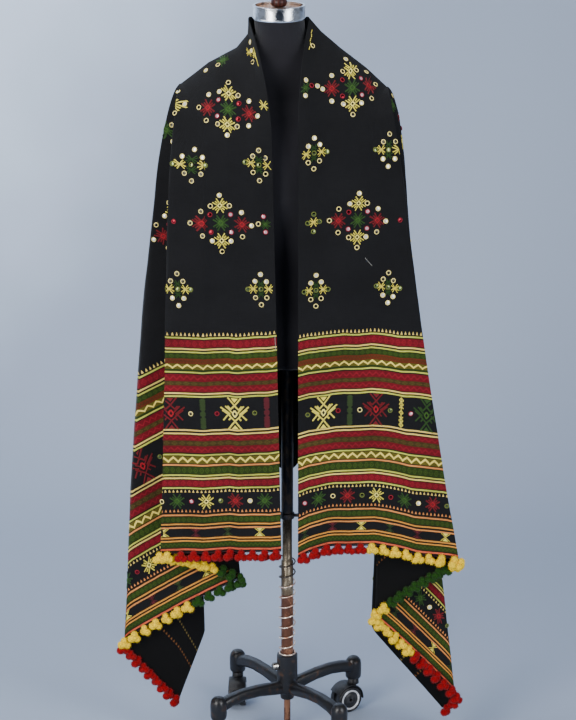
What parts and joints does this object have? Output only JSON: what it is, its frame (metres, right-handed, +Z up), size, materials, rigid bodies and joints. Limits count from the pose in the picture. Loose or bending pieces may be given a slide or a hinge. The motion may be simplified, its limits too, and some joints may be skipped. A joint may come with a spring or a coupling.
{
  "type": "handloom shawl draped on a dress form with a wheeled stand",
  "caption": "Handwoven black shawl with bright striped, embroidered ends and pompoms, draped over the shoulders of a limbless dress form on a wheeled stand.",
  "frame": {"origin": "on the floor, on the axis of the stand's pole", "axes": "+Z up, the shawl's open front toward -Y, +X toward the picture's right"},
  "size_m": [0.7399, 0.329, 1.603],
  "materials": {
    "wool": "matte woven wool",
    "pompom_wool": "fluffy yarn",
    "form_jersey": "matte stretch jersey",
    "chrome": "polished",
    "cap_wood": "satin",
    "dark_wood": "stained, satin",
    "black_tube": "satin",
    "aged_steel": "worn, tarnished",
    "spring_wire": "coppery, bright in places",
    "black_enamel": "enamel, worn to brown",
    "caster_black": "satin"
  },
  "bodies": {
    "stand": {"base": "black_enamel", "foot_rod": "aged_steel", "pole": "aged_steel", "spring": "spring_wire"},
    "clamp": {"clamp_screw": "black_enamel"},
    "height_collar": {"collar": "black_tube"},
    "form": {"sleeve": "black_tube", "torso": "form_jersey", "neck_band": "chrome", "neck_cap": "cap_wood", "finial": "dark_wood", "shawl_back": "wool", "shawl_left": "wool", "shawl_right": "wool", "trim_left": "pompom_wool", "trim_right": "pompom_wool"},
    "caster_1_fork": {"caster_1": "caster_black"},
    "caster_1_wheels": {"wheels_1": "caster_black"},
    "caster_2_fork": {"caster_2": "caster_black"},
    "caster_2_wheels": {"wheels_2": "caster_black"},
    "caster_3_fork": {"caster_3": "caster_black"},
    "caster_3_wheels": {"wheels_3": "caster_black"},
    "caster_4_fork": {"caster_4": "caster_black"},
    "caster_4_wheels": {"wheels_4": "caster_black"}
  },
  "joints": [
    {"name": "collar_slide", "type": "slide", "parent": "stand", "child": "height_collar", "axis": [0, 0, 1], "range_m": [0, 0.15]},
    {"name": "form_turn", "type": "hinge", "parent": "height_collar", "child": "form", "pos_m": [0, 0, 0.4918], "axis": [0, 0, 1], "continuous": true},
    {"name": "clamp_turn", "type": "hinge", "parent": "stand", "child": "clamp", "pos_m": [-0.02067, -0.00752, 0.148], "axis": [-0.9397, -0.342, 0], "range_deg": [0, 720]},
    {"name": "caster_1_swivel", "type": "hinge", "parent": "stand", "child": "caster_1_fork", "pos_m": [0.14375, 0.10833, 0.0717], "axis": [0, 0, 1], "continuous": true},
    {"name": "caster_1_roll", "type": "hinge", "parent": "caster_1_fork", "child": "caster_1_wheels", "pos_m": [0.12849, 0.09879, 0.029], "axis": [0.5299, -0.848, 0], "continuous": true},
    {"name": "caster_2_swivel", "type": "hinge", "parent": "stand", "child": "caster_2_fork", "pos_m": [-0.10833, 0.14375, 0.0717], "axis": [0, 0, 1], "continuous": true},
    {"name": "caster_2_roll", "type": "hinge", "parent": "caster_2_fork", "child": "caster_2_wheels", "pos_m": [-0.10895, 0.12576, 0.029], "axis": [0.9994, -0.0349, 0], "continuous": true},
    {"name": "caster_3_swivel", "type": "hinge", "parent": "stand", "child": "caster_3_fork", "pos_m": [-0.14375, -0.10833, 0.0717], "axis": [0, 0, 1], "continuous": true},
    {"name": "caster_3_roll", "type": "hinge", "parent": "caster_3_fork", "child": "caster_3_wheels", "pos_m": [-0.16007, -0.11593, 0.029], "axis": [0.4226, -0.9063, 0], "continuous": true},
    {"name": "caster_4_swivel", "type": "hinge", "parent": "stand", "child": "caster_4_fork", "pos_m": [0.10833, -0.14375, 0.0717], "axis": [0, 0, 1], "continuous": true},
    {"name": "caster_4_roll", "type": "hinge", "parent": "caster_4_fork", "child": "caster_4_wheels", "pos_m": [0.12251, -0.13267, 0.029], "axis": [-0.6157, 0.788, 0], "continuous": true}
  ]
}
